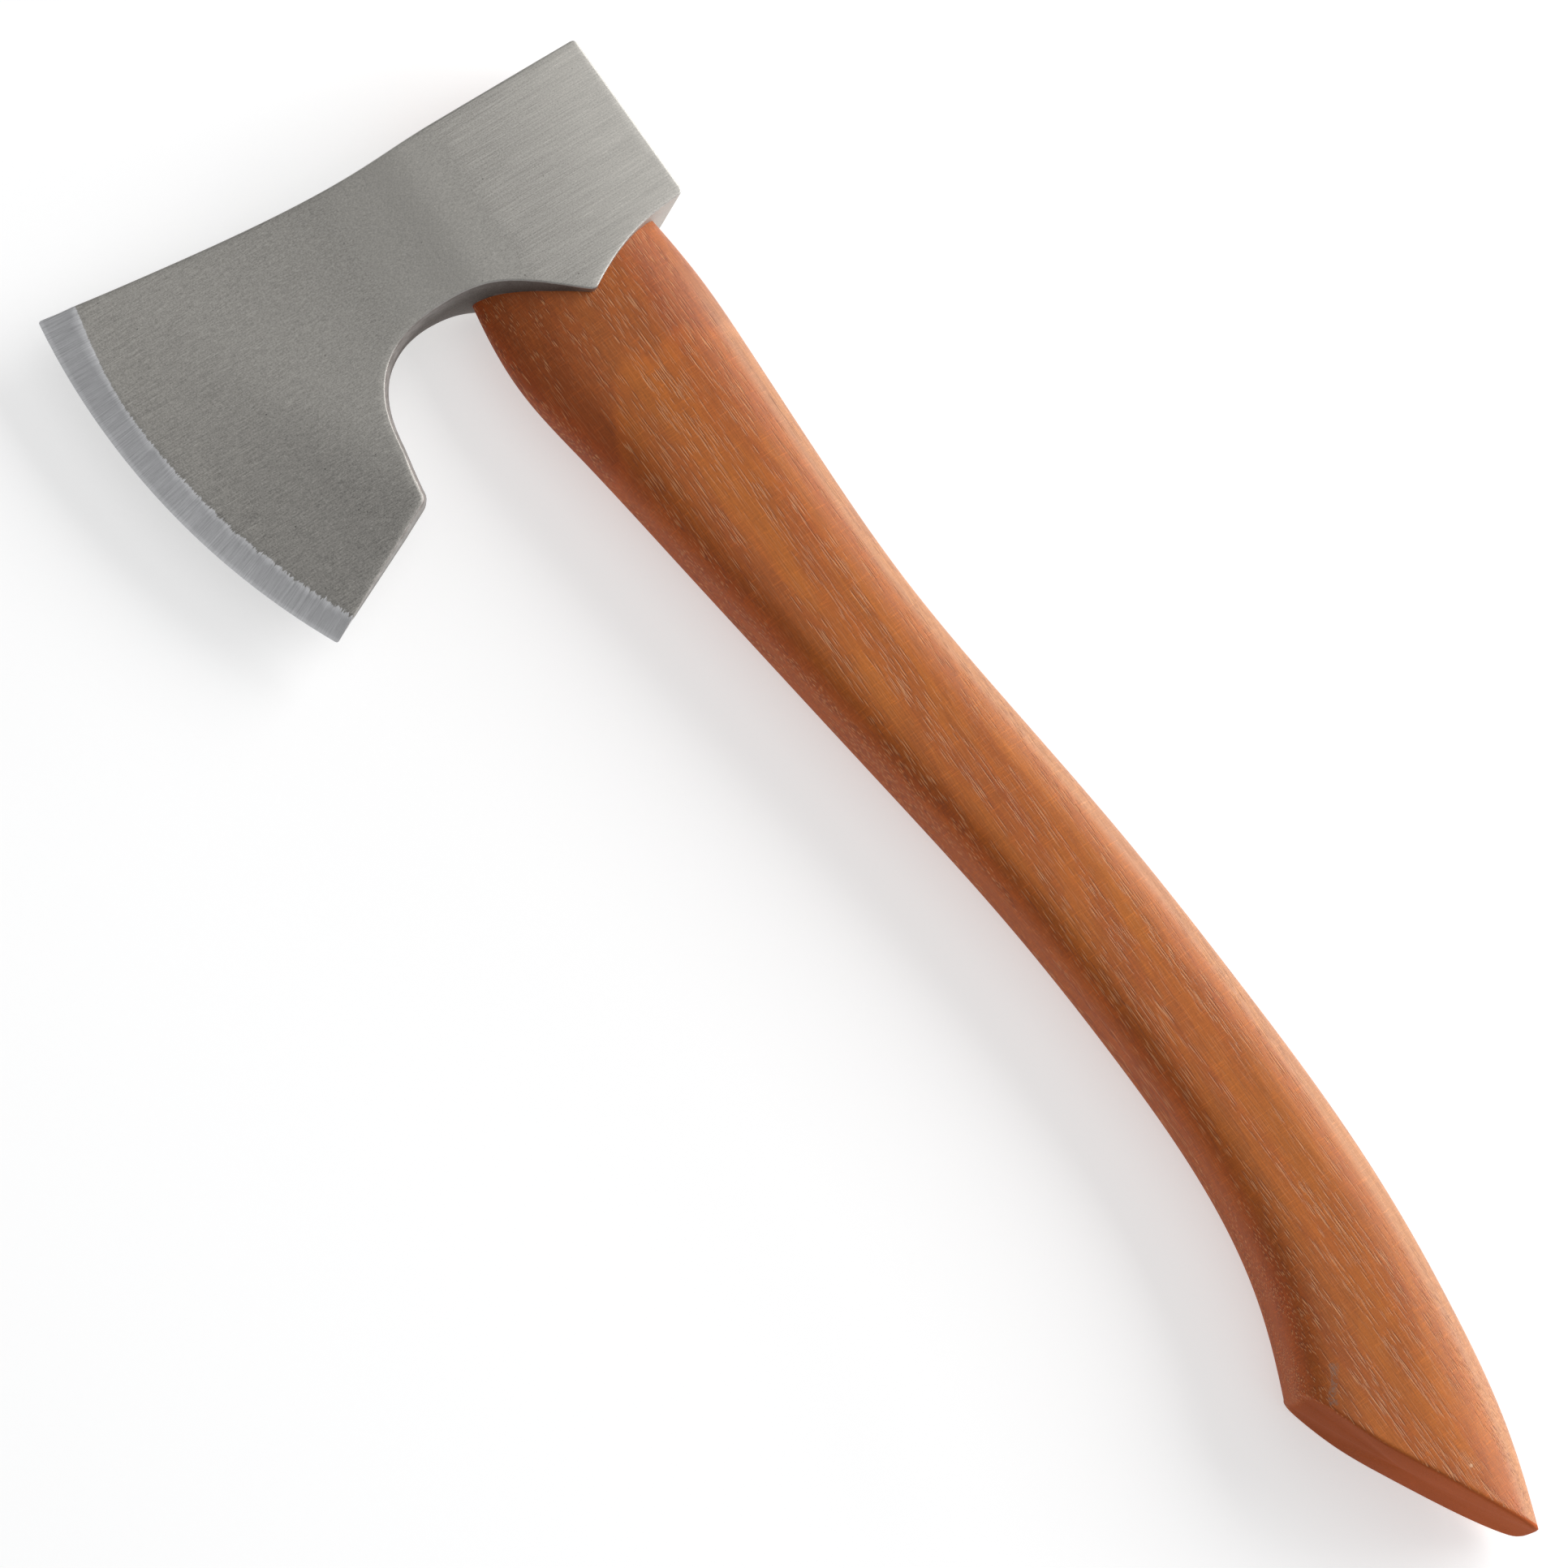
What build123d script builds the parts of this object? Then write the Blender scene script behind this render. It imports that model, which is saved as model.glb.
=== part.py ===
from build123d import *
import os
from math import cos, pi, radians, sin, tan

# A compact bearded hatchet lying on its side: a forged head, a curved wooden handle, and the two
# wedges that hold the head on. Millimetres, +Z up.
# +X runs along the handle towards the top of the head, and +Y towards the cutting edge.
# The origin is on the lower cheek, under the middle of the eye and halfway up the poll.

# Head, in side view
head_thickness = 24.0
mid = head_thickness / 2
top_x = 18.35
poll_y = -24.5
poll_lean = 2.0  # degrees off square to the top
top_flat_end = 18.0  # where the straight top starts to rise towards the toe
toe = (26.2, 93.5)
heel = (-56.8, 79.0)
beard_corner = (-42.6, 48.8)
beard_radius = 1.2
lug_tip = (-26.0, 0.6)

# Cutting edge: an arc with a narrow bevel ground on both sides
edge_radius = 140.0
edge_centre = (7.4, -45.3)
edge_land = 0.1  # half of the thickness left at the very edge
bevel_angle = 17.0

# Half thickness along Y: flat cheeks, a hollow in front of the eye, then a thin blade
cheek_end = 8.0
blade_half = 1.75

# The eye, a blunt teardrop that is a little wider at the top, so that the wedges can spread the tenon
eye_back = -18.5
eye_front = 18.8
eye_half = 8.6
eye_skew = 0.3
eye_flare = 0.6
eye_bottom_x = -30.0
tenon_top_x = top_x + 0.3

# Butt end: a slanting, slightly crowned cut from just outside the belly to just outside the back
butt_corner = (-275.0, 5.2)
butt_crown = [(-289.2, -0.6), (-304.2, -8.4), (-316.8, -16.3)]
butt_tip = (-325.4, -23.6)

# Wedges: depth driven in, thickness at the head and at the toe
wood_wedge = (27.0, 4.4, 1.0)
steel_wedge_size = (19.0, 2.8, 0.8)
steel_wedge_width = 15.0
steel_wedge_turn = 58.0  # degrees from the wooden wedge

over = 10.0  # how far cutting shapes run past the piece
section_points = 16

# x, back, belly, half thickness, squareness on the belly side and on the back, and skew of the
# handle's sections
handle_sections = [
    (-8.0, -18.7, 19.0, 8.8, 2.0, 2.0, 0.30),
    (-20.0, -20.1, 20.4, 9.6, 2.2, 2.05, 0.26),
    (-34.0, -21.5, 20.7, 10.6, 2.6, 2.15, 0.18),
    (-50.0, -21.6, 17.8, 11.2, 3.1, 2.3, 0.10),
    (-75.0, -21.3, 13.1, 11.2, 3.7, 2.45, 0.04),
    (-105.0, -22.0, 7.9, 11.0, 4.0, 2.5, 0.0),
    (-135.0, -25.4, 2.8, 11.0, 4.0, 2.5, 0.0),
    (-170.0, -30.0, -2.7, 11.0, 4.0, 2.5, 0.0),
    (-205.0, -33.0, -5.9, 11.0, 4.0, 2.5, 0.0),
    (-235.0, -34.6, -6.4, 11.4, 4.0, 2.5, 0.0),
    (-260.0, -34.1, -2.4, 11.7, 4.0, 2.6, 0.0),
    (-280.0, -32.3, 5.2, 11.8, 4.0, 2.7, 0.0),
    (-305.0, -28.1, 17.0, 11.8, 4.0, 2.8, 0.0),
    (-330.0, -21.2, 30.0, 11.8, 4.0, 2.5, 0.0),
]

eye_sections = [
    (eye_bottom_x, eye_back, eye_front, eye_half),
    (tenon_top_x, eye_back - eye_flare, eye_front + eye_flare, eye_half + eye_flare),
]


def across(x):
    """The plane across the handle at x: its local x is the row's Y and its local y is the row's Z."""
    return Plane(origin=(x, 0, mid), x_dir=(0, 1, 0), z_dir=(1, 0, 0))


def along(origin_x, origin_y):
    """An upright plane through a point, in line with the handle."""
    return Plane(origin=(origin_x, origin_y, mid), x_dir=(1, 0, 0), z_dir=(0, -1, 0))


def rounded_section(back, belly, half, belly_squareness, back_squareness, skew):
    """Points around a section. Squareness 2 is an ellipse, and skew narrows the belly side."""
    centre = (back + belly) / 2
    reach = (belly - back) / 2
    points = []
    for step in range(section_points):
        turn = 2 * pi * step / section_points
        c = cos(turn)
        s = sin(turn)
        side_c = 1 if c > 0 else -1
        side_s = 1 if s > 0 else -1
        squareness = belly_squareness if c > 0 else back_squareness
        depth = centre + reach * side_c * abs(c) ** (2 / squareness)
        height = half * side_s * abs(s) ** (2 / squareness) * (1 - skew * c)
        points.append((depth, height))
    return points


def wedge_outline(depth, head, tip):
    """A wedge's side view, its head level with the tenon's end."""
    return [
        (tenon_top_x, head / 2),
        (tenon_top_x - depth, tip / 2),
        (tenon_top_x - depth, -tip / 2),
        (tenon_top_x, -head / 2),
    ]


# The space inside the eye, as a solid that the other pieces are cut to
with BuildPart() as eye_core:
    for x, back, front, half in eye_sections:
        with BuildSketch(across(x)):
            with BuildLine():
                Spline(*rounded_section(back, front, half, 2.0, 2.0, eye_skew), periodic=True)
            make_face()
    loft()

with BuildPart() as axe_head:
    lean_shift = top_x * tan(radians(poll_lean))
    poll_low = (-top_x, poll_y - lean_shift)
    poll_top = (top_x, poll_y + lean_shift)
    top_end = (top_x, top_flat_end)
    with BuildSketch(Plane.XY) as side_view:
        with BuildLine():
            Line(poll_low, poll_top)
            Line(poll_top, top_end)
            Spline(top_end, (19.8, 45.0), (22.9, 71.0), toe, tangents=((0, 1), (0.17, 1)))
            RadiusArc(toe, heel, -edge_radius)
            Line(heel, beard_corner)
            # the round notch behind the beard, running on under the lug
            Spline(
                beard_corner,
                (-33.2, 47.6),
                (-24.3, 45.8),
                (-17.5, 41.5),
                (-13.5, 33.8),
                (-12.9, 26.0),
                (-14.3, 18.3),
                (-18.7, 10.7),
                lug_tip,
                tangents=((1, -0.05), (-0.62, -0.78)),
            )
            # the scoop from the lug to the poll
            Spline(
                lug_tip,
                (-20.9, -10.0),
                (-19.0, -18.0),
                poll_low,
                tangents=((0.52, -0.85), (0.1, -1)),
            )
        make_face()
        fillet(side_view.vertices().sort_by_distance(beard_corner)[0], beard_radius)
    extrude(amount=head_thickness)
    # the view along the handle
    with BuildSketch(across(-edge_radius)):
        blade_end = (toe[1] + over, blade_half)
        with BuildLine():
            Line((cheek_end, mid), (poll_y - over, mid))
            Line((poll_y - over, mid), (poll_y - over, 0))
            Line((poll_y - over, 0), (blade_end[0], 0))
            Line((blade_end[0], 0), blade_end)
            Spline(
                (cheek_end, mid),
                (18.0, 10.6),
                (26.0, 7.9),
                (35.0, 5.7),
                (48.0, 4.0),
                (66.0, 2.6),
                blade_end,
                tangents=((1, 0), (1, -0.01)),
            )
        make_face()
        mirror(about=Plane.XZ)
    extrude(amount=2 * edge_radius, mode=Mode.INTERSECT)
    # the ground bevel, a double cone about the centre of the edge's arc
    cone_reach = edge_radius - (mid + over) / tan(radians(bevel_angle))
    with BuildSketch(along(*edge_centre)):
        with BuildLine():
            Polyline(
                (0, -mid - over),
                (cone_reach, -mid - over),
                (edge_radius, -edge_land),
                (edge_radius, edge_land),
                (cone_reach, mid + over),
                (0, mid + over),
                close=True,
            )
        make_face()
    revolve(axis=Axis((*edge_centre, mid), (0, 0, 1)), mode=Mode.INTERSECT)
    add(eye_core.part, mode=Mode.SUBTRACT)
axe_head.part.label = "axe_head"

# A thin steel wedge, driven slantwise across the wooden one
with BuildPart() as steel_wedge:
    with BuildSketch(along(0, 0).rotated((steel_wedge_turn, 0, 0))):
        with BuildLine():
            Polyline(*wedge_outline(*steel_wedge_size), close=True)
        make_face()
    extrude(amount=steel_wedge_width / 2, both=True)
steel_wedge.part.label = "steel_wedge"

# The wooden wedge fills the kerf along the eye, and is trimmed to the eye's outline
with BuildPart() as wooden_wedge:
    with BuildSketch(along(0, 0)):
        with BuildLine():
            Polyline(*wedge_outline(*wood_wedge), close=True)
        make_face()
    extrude(amount=eye_front + over, both=True)
    add(eye_core.part, mode=Mode.INTERSECT)
    add(steel_wedge.part, mode=Mode.SUBTRACT)
wooden_wedge.part.label = "wooden_wedge"

with BuildPart() as handle:
    for x, *section in handle_sections:
        with BuildSketch(across(x)):
            with BuildLine():
                Spline(*rounded_section(*section), periodic=True)
            make_face()
    loft()
    # the slanting butt end
    with BuildSketch(Plane.XY.offset(-over)):
        beyond = 2 * butt_tip[0]
        clear_side = (butt_corner[0], toe[1])
        with BuildLine():
            Spline(butt_corner, *butt_crown, butt_tip)
            Polyline(butt_tip, (beyond, butt_tip[1]), (beyond, toe[1]), clear_side, butt_corner)
        make_face()
    extrude(amount=head_thickness + 2 * over, mode=Mode.SUBTRACT)
    # shoulders pared to fit the head, and then the tenon that fills the eye
    add(axe_head.part, mode=Mode.SUBTRACT)
    add(eye_core.part)
    add(wooden_wedge.part, mode=Mode.SUBTRACT)
    add(steel_wedge.part, mode=Mode.SUBTRACT)
handle.part.label = "handle"

os.makedirs("parts", exist_ok=True)
for piece in (axe_head, handle, wooden_wedge, steel_wedge):
    export_step(piece.part, f"parts/{piece.part.label}.step")
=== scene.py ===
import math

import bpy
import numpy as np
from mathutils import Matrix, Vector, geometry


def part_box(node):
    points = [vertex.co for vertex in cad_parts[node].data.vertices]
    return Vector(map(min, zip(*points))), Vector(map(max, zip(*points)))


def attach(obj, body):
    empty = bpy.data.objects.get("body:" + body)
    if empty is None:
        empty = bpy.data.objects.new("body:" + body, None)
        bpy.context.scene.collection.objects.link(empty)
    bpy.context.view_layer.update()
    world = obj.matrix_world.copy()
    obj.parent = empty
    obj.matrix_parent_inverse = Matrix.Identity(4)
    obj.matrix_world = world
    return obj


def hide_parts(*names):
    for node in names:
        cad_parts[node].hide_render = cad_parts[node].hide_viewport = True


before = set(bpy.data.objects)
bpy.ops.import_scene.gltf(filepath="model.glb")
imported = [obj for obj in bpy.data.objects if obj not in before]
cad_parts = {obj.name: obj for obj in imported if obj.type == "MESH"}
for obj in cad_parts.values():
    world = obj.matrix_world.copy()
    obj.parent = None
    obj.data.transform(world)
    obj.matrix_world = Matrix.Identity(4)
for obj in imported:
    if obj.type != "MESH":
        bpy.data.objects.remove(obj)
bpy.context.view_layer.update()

# A compact bearded hatchet lying on its side on a pale studio floor.
# Lengths are in millimetres in the part's frame: +X runs along the handle towards the top of the
# head, +Y towards the cutting edge, and +Z up. They are turned into metres where a mesh or the
# camera is made. Only the lights' places and sizes are given in metres.

MM = 0.001
head_low, head_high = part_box("axe_head")
MID = (head_low[2] + head_high[2]) / 2 / MM  # halfway up the thickness of the head and the handle

# ---- sizes: the CAD model's, drawn in where a finer shape would stand past its box ----

TOP_X = 18.35
POLL_Y = -24.5
POLL_LEAN = 2.0  # degrees off square to the top
TOP_FLAT_END = 18.0  # where the straight top starts to rise towards the toe
TOE = (26.15, 93.45)
HEEL = (-56.75, 78.95)
BEARD_CORNER = (-42.4, 49.2)
LUG_TIP = (-26.0, 0.6)
EDGE_RADIUS = 140.0
EDGE_CENTRE = (7.4, -45.3)
EDGE_LAND = 0.06  # half of the thickness left at the very edge
BEVEL_WIDTH = 5.6
TOE_BEVEL_EXTRA = 1.5  # how much wider the bevel is at the toe
NOTCH_BULGE = 1.15  # how far the notch's wall stands out at mid thickness
REAR_BULGE = 0.55  # the same for the wall between the heel and the beard
CHEEK_EASE = 0.42  # radius of the eased edges round the cheeks

# Y, and half of the head's thickness there
THICKNESS = [
    (8, 12.0),
    (13, 11.65),
    (18, 10.6),
    (26, 7.9),
    (35, 5.7),
    (48, 4.0),
    (66, 2.6),
    (80, 2.0),
    (104, 1.75),
]

# distances between the head's mesh points
OUTLINE_STEP = 0.55
BEVEL_LINE_STEP = 0.7
CHEEK_STEP = 1.15

# The eye, a blunt teardrop that is a little wider at the top
EYE_BACK = -18.5
EYE_FRONT = 18.8
EYE_HALF = 8.6
EYE_SKEW = 0.3
EYE_FLARE = 0.6
EYE_BOTTOM_X = -30.0
EYE_CLEARANCE = 0.03
EYE_RIM = 0.75  # how far the eased rim at the top of the eye opens out

TENON_TOP_X = TOP_X + 0.05
# share of the tenon's outline left, and rise, for the rings that close its end below the wedges' ends
TENON_END = [(0.985, 0.06), (0.96, 0.1), (0.75, 0.1), (0.5, 0.1), (0.25, 0.1)]

# x, back, belly, half thickness, squareness of the belly side and of the back side, and skew
HANDLE = [
    (TENON_TOP_X, -19.1, 19.4, 9.2, 2.0, 2.0, 0.30),
    (4.0, -18.9, 19.2, 9.0, 2.0, 2.0, 0.30),
    (-8.0, -18.7, 19.0, 8.8, 2.0, 2.0, 0.30),
    (-20.0, -20.1, 20.4, 9.6, 2.2, 2.05, 0.26),
    (-34.0, -21.5, 20.7, 10.6, 2.6, 2.15, 0.18),
    (-50.0, -21.6, 17.8, 11.2, 3.1, 2.3, 0.10),
    (-75.0, -21.3, 13.1, 11.2, 3.7, 2.45, 0.04),
    (-105.0, -22.0, 7.9, 11.0, 4.0, 2.5, 0.0),
    (-135.0, -25.4, 2.8, 11.0, 4.0, 2.5, 0.0),
    (-170.0, -30.0, -2.7, 11.0, 4.0, 2.5, 0.0),
    (-205.0, -33.0, -5.9, 11.0, 4.0, 2.5, 0.0),
    (-235.0, -34.55, -6.4, 11.4, 4.0, 2.5, 0.0),
    (-260.0, -34.1, -2.4, 11.7, 4.0, 2.6, 0.0),
    (-280.0, -32.3, 5.2, 11.8, 4.0, 2.7, 0.0),
    (-305.0, -28.1, 17.0, 11.8, 4.0, 2.8, 0.0),
    (-330.0, -19.4, 30.0, 11.8, 4.0, 3.6, 0.0),
]
HANDLE_STEPS = 144  # points round the handle

# the slanting cut in side view, from the belly to the back, and its directions at both ends
BUTT_CUT = [
    (-276.4, 3.4),
    (-288.8, -1.6),
    (-303.7, -9.4),
    (-316.2, -16.6),
    (-322.2, -20.2),
    (-324.2, -22.4),
]
BUTT_CUT_START = (-0.9, -0.42)
BUTT_CUT_END = (0.0, -1.0)
BUTT_TURN_START = -185.0  # where the rings round the handle start to turn towards the cut
BUTT_ROUNDING = [(0.18, 0.40), (0.5, 0.60), (1.0, 0.70)]  # inset and rise of the rings at its rim
BUTT_DOME = 1.3  # how far the face swells out at its middle


# ---- curves ----


def cubic(knots, values, samples, first=None, last=None):
    """A smooth curve through values at the knots, with given or free end slopes."""
    t = np.asarray(knots, float)
    v = np.asarray(values, float).reshape(len(t), -1)
    n = len(t)
    gap = np.diff(t)[:, None]
    rise = np.diff(v, axis=0) / gap
    system = np.zeros((n, n))
    right = np.zeros_like(v)
    for i in range(1, n - 1):
        before = 1 / gap[i - 1, 0]
        after = 1 / gap[i, 0]
        system[i, i - 1 : i + 2] = before, 2 * (before + after), after
        right[i] = 3 * (rise[i - 1] * before + rise[i] * after)
    if first is None:
        system[0, :2] = 2, 1
        right[0] = 3 * rise[0]
    else:
        system[0, 0] = 1
        right[0] = first
    if last is None:
        system[-1, -2:] = 1, 2
        right[-1] = 3 * rise[-1]
    else:
        system[-1, -1] = 1
        right[-1] = last
    slope = np.linalg.solve(system, right)
    s = np.asarray(samples, float)
    i = np.clip(np.searchsorted(t, s, side="right") - 1, 0, n - 2)
    g = gap[i]
    u = (s[:, None] - t[i][:, None]) / g
    return (
        (1 + 2 * u) * (1 - u) ** 2 * v[i]
        + u * (1 - u) ** 2 * g * slope[i]
        + u * u * (3 - 2 * u) * v[i + 1]
        + u * u * (u - 1) * g * slope[i + 1]
    )


def curve_through(points, spacing, start, end):
    """A plane curve through points, with its end directions."""
    p = np.asarray(points, float)
    t = np.concatenate([[0], np.cumsum(np.linalg.norm(np.diff(p, axis=0), axis=1))])
    ends = [np.asarray(d, float) / np.linalg.norm(d) for d in (start, end)]
    samples = np.linspace(0, t[-1], max(3, int(t[-1] / spacing)))
    return cubic(t, p, samples, *ends)


def straight(a, b, spacing):
    """Evenly spaced points from a to b."""
    count = max(2, int(math.dist(a, b) / spacing))
    return np.linspace(a, b, count)


def edge_arc(spacing):
    """The cutting edge from the toe to the heel."""
    c = np.array(EDGE_CENTRE)
    angles = [math.atan2(*(np.array(p) - c)[::-1]) for p in (TOE, HEEL)]
    turn = np.linspace(angles[0], angles[1], int(EDGE_RADIUS * (angles[1] - angles[0]) / spacing))
    radii = np.linspace(math.dist(TOE, c), math.dist(HEEL, c), len(turn))
    return c + np.stack([np.cos(turn), np.sin(turn)], axis=1) * radii[:, None]


def soften(loop, corner, radius):
    """Rounds the loop's corner nearest to a point."""
    away = np.linalg.norm(loop - np.asarray(corner), axis=1)
    at = int(np.argmin(away))
    loop = np.roll(loop, -at, axis=0)
    away = np.roll(away, -at)
    half = len(loop) // 2
    ahead = int(np.argmax(away[:half] >= radius))
    behind = len(loop) - 1 - int(np.argmax(away[::-1][:half] >= radius))
    tip = loop[0]
    u = np.linspace(0, 1, 7)[:, None]
    bend = (1 - u) ** 2 * loop[behind] + 2 * u * (1 - u) * tip + u * u * loop[ahead]
    return np.concatenate([bend[:-1], loop[ahead:behind]])


# ---- the head ----


def head_outline(spacing):
    """The head's side view as one closed loop, toe first, with its corners eased."""
    lean = TOP_X * math.tan(math.radians(POLL_LEAN))
    poll_low = (-TOP_X, POLL_Y - lean)
    poll_top = (TOP_X, POLL_Y + lean)
    top_end = (TOP_X, TOP_FLAT_END)
    notch = [
        BEARD_CORNER,
        (-33.0, 48.2),
        (-24.0, 46.4),
        (-17.0, 41.9),
        (-12.9, 34.0),
        (-12.3, 26.0),
        (-13.7, 18.1),
        (-18.2, 10.3),
        LUG_TIP,
    ]
    scoop = [LUG_TIP, (-20.9, -10.0), (-19.0, -18.0), poll_low]
    runs = [
        edge_arc(spacing),
        straight(HEEL, BEARD_CORNER, spacing),
        curve_through(notch, spacing, (1, -0.05), (-0.62, -0.78)),
        curve_through(scoop, spacing, (0.52, -0.85), (0.1, -1)),
        straight(poll_low, poll_top, spacing),
        straight(poll_top, top_end, spacing),
        curve_through([top_end, (19.8, 45.0), (22.9, 71.0), TOE], spacing, (0, 1), (0.17, 1)),
    ]
    loop = np.concatenate([run[:-1] for run in runs])
    roundings = [
        (BEARD_CORNER, 1.6),
        (LUG_TIP, 0.8),
        (poll_low, 0.9),
        (poll_top, 0.9),
        (TOE, 0.5),
        (HEEL, 0.5),
    ]
    for corner, radius in roundings:
        loop = soften(loop, corner, radius)
    return loop


def from_edge(x, y):
    """How far inside the cutting edge's arc a point is."""
    return EDGE_RADIUS - np.hypot(x - EDGE_CENTRE[0], y - EDGE_CENTRE[1])


def bevel_reach(x, y):
    """Width of the bevel, which widens a little at the toe."""
    toe_side = np.clip((np.asarray(x, float) - 6) / 22, 0, 1)
    return BEVEL_WIDTH + TOE_BEVEL_EXTRA * toe_side**2


def half_thickness(x, y):
    """Half of the head's thickness at a point of its side view."""
    x = np.asarray(x, float)
    y = np.asarray(y, float)
    knots, values = np.array(THICKNESS).T
    places = np.clip(y, knots[0], knots[-1]).ravel()
    body = cubic(knots, values, places, first=0.0)[:, 0].reshape(y.shape)
    inside = from_edge(x, y)
    reach = bevel_reach(x, y)
    ground = EDGE_LAND + (body - EDGE_LAND) * np.clip(inside / reach, 0, 1)
    return np.where(inside < reach, ground, body)


def inward(loop):
    """Unit normals into a counter-clockwise loop."""
    along = np.roll(loop, -1, axis=0) - np.roll(loop, 1, axis=0)
    along /= np.linalg.norm(along, axis=1)[:, None]
    return np.stack([-along[:, 1], along[:, 0]], axis=1)


def edge_ease(loop):
    """Radius of the eased edge all round the cheeks: none on the cutting edge, most on the beard."""
    x, y = loop.T
    ease = np.full(len(loop), CHEEK_EASE)
    rear = (x < -40) & (y > 48)
    along_rear = np.clip((HEEL[1] - y) / (HEEL[1] - BEARD_CORNER[1]), 0, 1)
    ease = np.where(rear, 0.25 + 0.95 * along_rear, ease)
    corner = np.exp(-((x + 40) ** 2 + (y - 48.5) ** 2) / 60)
    ease = np.maximum(ease, 1.1 * corner)
    ease = np.minimum(ease, 0.45 * half_thickness(x, y))
    return ease * np.clip((from_edge(x, y) - 0.2) / 4, 0, 1) + 0.01


def wall_bulge(loop):
    """How far the forged walls stand out at mid thickness: most in the notch, none on the edge."""
    x, y = loop.T
    in_notch = np.clip((y - 1) / 6, 0, 1) * np.clip((51 - y) / 3, 0, 1) * np.clip((6 - x) / 4, 0, 1)
    on_rear = REAR_BULGE * np.clip((HEEL[1] - 2 - y) / 20, 0, 1) * (y >= 48) * (x < -38)
    return np.maximum(NOTCH_BULGE * in_notch, on_rear)


def cheek_points(loop, spacing):
    """Points over the cheek inside a loop, on a triangular grid, and along the bevel's inner line."""
    low = loop.min(axis=0)
    high = loop.max(axis=0)
    rows = np.arange(low[1], high[1], spacing * math.sqrt(0.75))
    points = []
    for k, y in enumerate(rows):
        xs = np.arange(low[0] + spacing * (k % 2) / 2, high[0], spacing)
        points.append(np.stack([xs, np.full(len(xs), y)], axis=1))
    points = np.concatenate(points)
    ahead = np.roll(loop, -1, axis=0)
    crossings = np.zeros(len(points), int)
    closest = np.full(len(points), 1e9)
    for a, b in zip(loop, ahead):
        spans = (a[1] > points[:, 1]) != (b[1] > points[:, 1])
        rise = b[1] - a[1] if b[1] != a[1] else 1e-12
        crossings += spans & (points[:, 0] < a[0] + (points[:, 1] - a[1]) * (b[0] - a[0]) / rise)
        closest = np.minimum(closest, np.hypot(*(points - a).T))
    inside = (crossings % 2 == 1) & (closest > 0.6 * spacing)
    x, y = points.T
    off_line = np.abs(from_edge(x, y) - bevel_reach(x, y)) > 0.45 * spacing
    return points[inside & off_line]


def bevel_line(loop, spacing):
    """The line where the bevel meets the cheek, from the top of the blade to the beard."""
    x, y = loop.T
    gap = from_edge(x, y) - bevel_reach(x, y)
    crossing = np.where(np.sign(gap) != np.sign(np.roll(gap, -1)))[0]
    ends = sorted((loop[i] for i in crossing), key=lambda p: -p[0])
    angle = [math.atan2(p[1] - EDGE_CENTRE[1], p[0] - EDGE_CENTRE[0]) for p in (ends[0], ends[-1])]
    turns = np.linspace(*angle, int(EDGE_RADIUS * (angle[1] - angle[0]) / spacing))
    radius = np.full(len(turns), EDGE_RADIUS - BEVEL_WIDTH)
    for _ in range(4):
        x = EDGE_CENTRE[0] + radius * np.cos(turns)
        y = EDGE_CENTRE[1] + radius * np.sin(turns)
        radius = EDGE_RADIUS - bevel_reach(x, y)
    return np.stack([x, y], axis=1)[1:-1]


def link_mesh(name, vertices, faces):
    """A new object from points in millimetres."""
    points = [tuple(MM * c for c in v) for v in vertices]
    corners = [list(map(int, f)) for f in faces]
    mesh = bpy.data.meshes.new(name)
    mesh.from_pydata(points, [], corners)
    mesh.validate()
    piece = bpy.data.objects.new(name, mesh)
    bpy.context.scene.collection.objects.link(piece)
    return piece


def smooth(piece, angle):
    """Smooth shading, with edges sharper than the angle kept crisp."""
    piece.data.shade_smooth()
    piece.data.set_sharp_from_angle(angle=math.radians(angle))


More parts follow.
